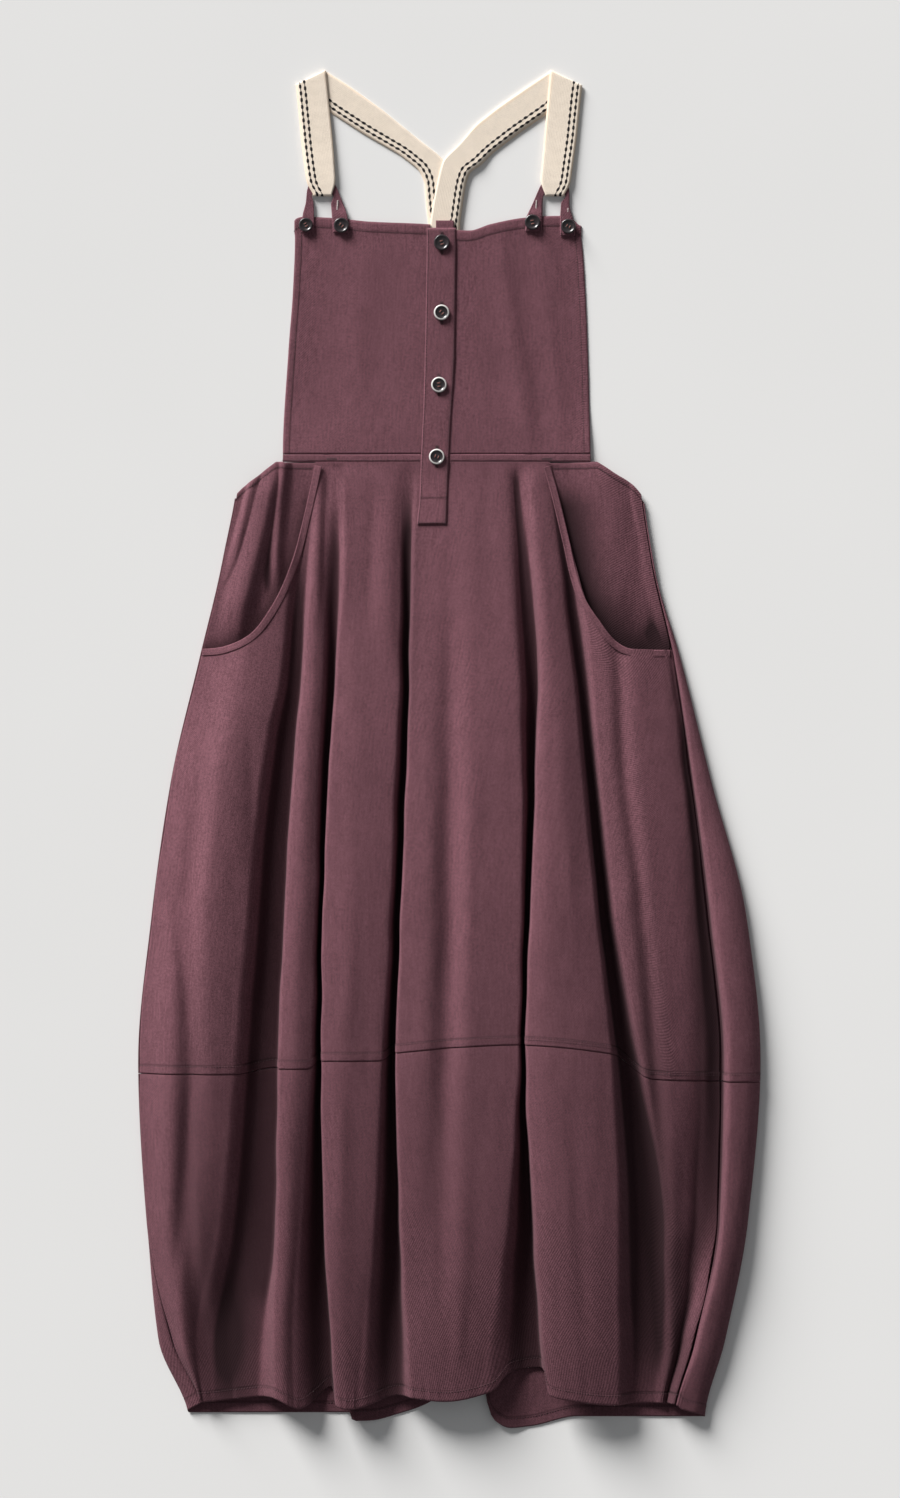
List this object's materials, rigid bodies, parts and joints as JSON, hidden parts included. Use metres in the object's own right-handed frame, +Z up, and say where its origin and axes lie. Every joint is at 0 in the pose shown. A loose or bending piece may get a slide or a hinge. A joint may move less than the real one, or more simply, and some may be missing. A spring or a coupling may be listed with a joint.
{
  "type": "pinafore dress",
  "caption": "Pinafore dress laid flat: bib with buttoned placket, two woven tape braces on button tabs, curved side pockets, and a wide barrel skirt falling in deep folds to a cross seam and hem.",
  "frame": {"origin": "middle of the garment's outline, on the surface that it lies on", "axes": "+X to the right of the garment as seen from above, +Y towards the braces' top, +Z up out of the surface, front of the dress upwards"},
  "size_m": [0.6224, 1.356, 0.038],
  "materials": {
    "twill": "matt dusky plum cotton twill, washed soft",
    "tape": "matt ecru woven cotton tape with two broken black lines",
    "button": "dark polished buttons, three with a pale rim"
  },
  "bodies": {
    "root": {"back_skirt_upper": "twill", "back_skirt_lower": "twill", "front_skirt_upper": "twill", "front_skirt_lower": "twill", "hip_panel_left": "twill", "hip_panel_right": "twill", "pocket_binding_left": "twill", "pocket_binding_right": "twill", "bib_left": "twill", "bib_right": "twill", "button_stand": "twill", "waist_band": "twill", "placket": "twill", "strap_left": "tape", "strap_right": "tape", "tab_left": "twill", "tab_right": "twill", "button_placket_1": "button", "button_placket_2": "button", "button_placket_3": "button", "button_placket_4": "button", "button_tab_1": "button", "button_tab_2": "button", "button_tab_3": "button", "button_tab_4": "button"}
  },
  "joints": []
}
